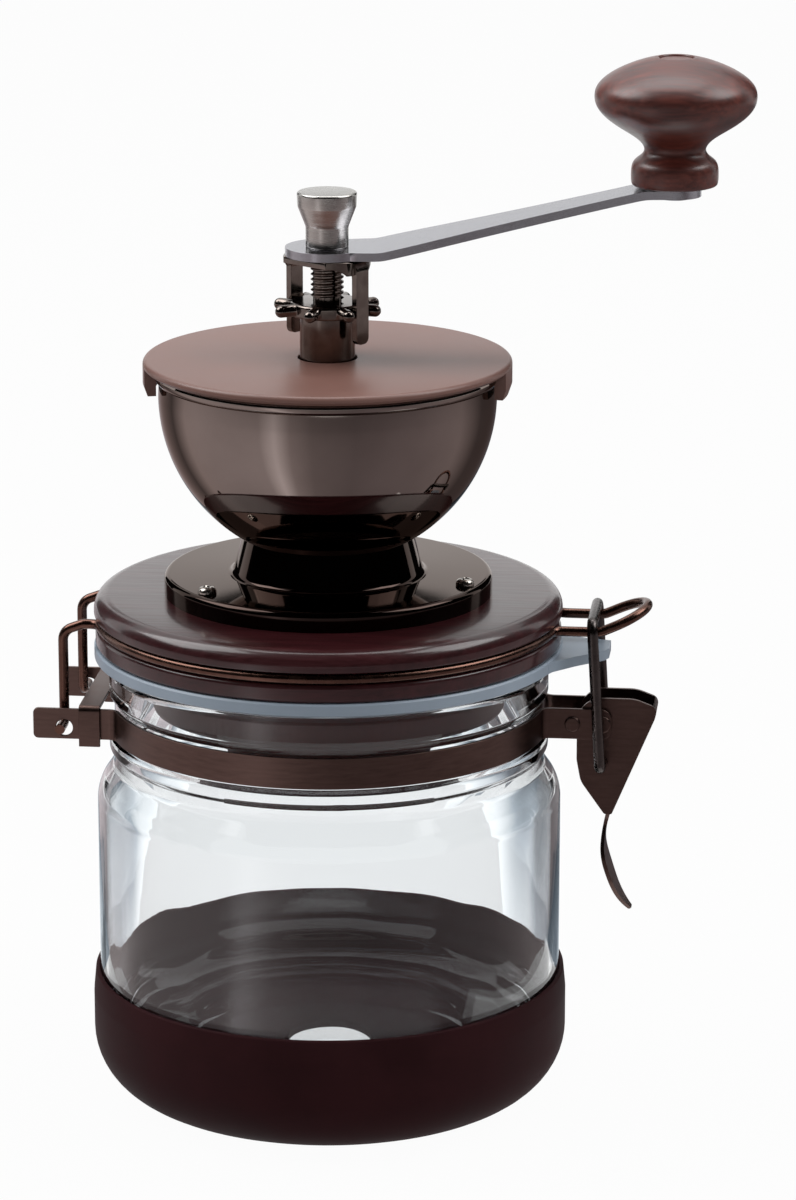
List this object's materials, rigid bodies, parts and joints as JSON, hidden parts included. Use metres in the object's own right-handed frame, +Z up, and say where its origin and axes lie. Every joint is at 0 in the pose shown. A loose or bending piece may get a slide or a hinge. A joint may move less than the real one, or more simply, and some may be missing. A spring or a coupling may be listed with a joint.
{
  "type": "hand_coffee_grinder",
  "caption": "Hand crank coffee grinder: metal hopper and turned wooden knob over a wooden lid that a wire bail clamps on a glass jar with a silicone base sleeve.",
  "frame": {"origin": "on the jar's axis, where the base sleeve stands on the table", "axes": "+Z up along the jar's and the crank's axis, +X from the lid hinge to the latch"},
  "size_m": [0.1701, 0.116, 0.254],
  "materials": {
    "sleeve_silicone": "matte moulded silicone",
    "jar_glass": "clear polished",
    "strap_steel": "satin bronze-brown plating",
    "wire_bronze": "satin bronze plating",
    "lid_wood": "dark stained, satin lacquer",
    "knob_wood": "dark stained, gloss lacquer",
    "gasket_silicone": "translucent blue-grey silicone",
    "hopper_metal": "dark gunmetal mirror plating",
    "cover_plastic": "satin brown",
    "dark_chrome": "dark plated steel",
    "cap_steel": "satin turned",
    "arm_steel": "satin ground",
    "screw_steel": "bright plated",
    "holder_plastic": "moulded brown",
    "bush_nylon": "black nylon",
    "burr_ceramic": "unglazed white",
    "spring_steel": "drawn wire"
  },
  "bodies": {
    "jar": {"base_sleeve": "sleeve_silicone", "glass_jar": "jar_glass", "front_strap": "strap_steel", "rear_strap": "strap_steel", "hinge_clip": "strap_steel", "ear_rivet": "strap_steel", "lever_pivot": "strap_steel"},
    "lid": {"lid_wire": "wire_bronze", "wood_lid": "lid_wood", "gasket": "gasket_silicone", "hopper_bowl": "hopper_metal", "hopper_base": "hopper_metal", "flange_screw": "screw_steel", "bearing_bridge": "screw_steel", "upper_bush": "bush_nylon", "burr_holder": "holder_plastic", "holder_screw": "screw_steel", "lower_bush": "bush_nylon", "outer_burr": "burr_ceramic", "burr_ring": "holder_plastic", "ring_screw": "screw_steel"},
    "crank": {"shaft": "dark_chrome", "inner_burr": "burr_ceramic", "burr_nut": "screw_steel", "burr_washer": "screw_steel", "burr_spring": "spring_steel", "adjusting_nut": "dark_chrome", "stopper": "dark_chrome", "crank_arm": "arm_steel", "cap_nut": "cap_steel", "knob_post": "arm_steel"},
    "knob": {"knob": "knob_wood", "knob_plug": "knob_wood"},
    "cover": {"hopper_cover": "cover_plastic"},
    "lever": {"latch_lever": "strap_steel"},
    "bail": {"latch_bail": "wire_bronze"}
  },
  "joints": [
    {"name": "lid_swing", "type": "hinge", "parent": "jar", "child": "lid", "pos_m": [-0.0626, 0, 0.0943], "axis": [0, -1, 0], "range_deg": [0, 100]},
    {"name": "crank_spin", "type": "hinge", "parent": "lid", "child": "crank", "pos_m": [0, 0, 0.2], "axis": [0, 0, 1], "continuous": true},
    {"name": "knob_spin", "type": "hinge", "parent": "crank", "child": "knob", "pos_m": [0.08129, 0.01287, 0.24], "axis": [0, 0, 1], "continuous": true},
    {"name": "cover_lift", "type": "slide", "parent": "lid", "child": "cover", "axis": [0, 0, 1], "range_m": [0, 0.0045]},
    {"name": "lever_swing", "type": "hinge", "parent": "jar", "child": "lever", "pos_m": [0.0668, 0, 0.0953], "axis": [0, -1, 0], "range_deg": [0, 90]},
    {"name": "bail_swing", "type": "hinge", "parent": "lid", "child": "bail", "pos_m": [0.0644, 0, 0.1215], "axis": [0, -1, 0], "range_deg": [-10, 0]}
  ],
  "couplings": [
    {"joint": "lever_swing", "follows": "lid_swing", "ratio": 0.9},
    {"joint": "bail_swing", "follows": "lid_swing", "ratio": -0.1}
  ]
}
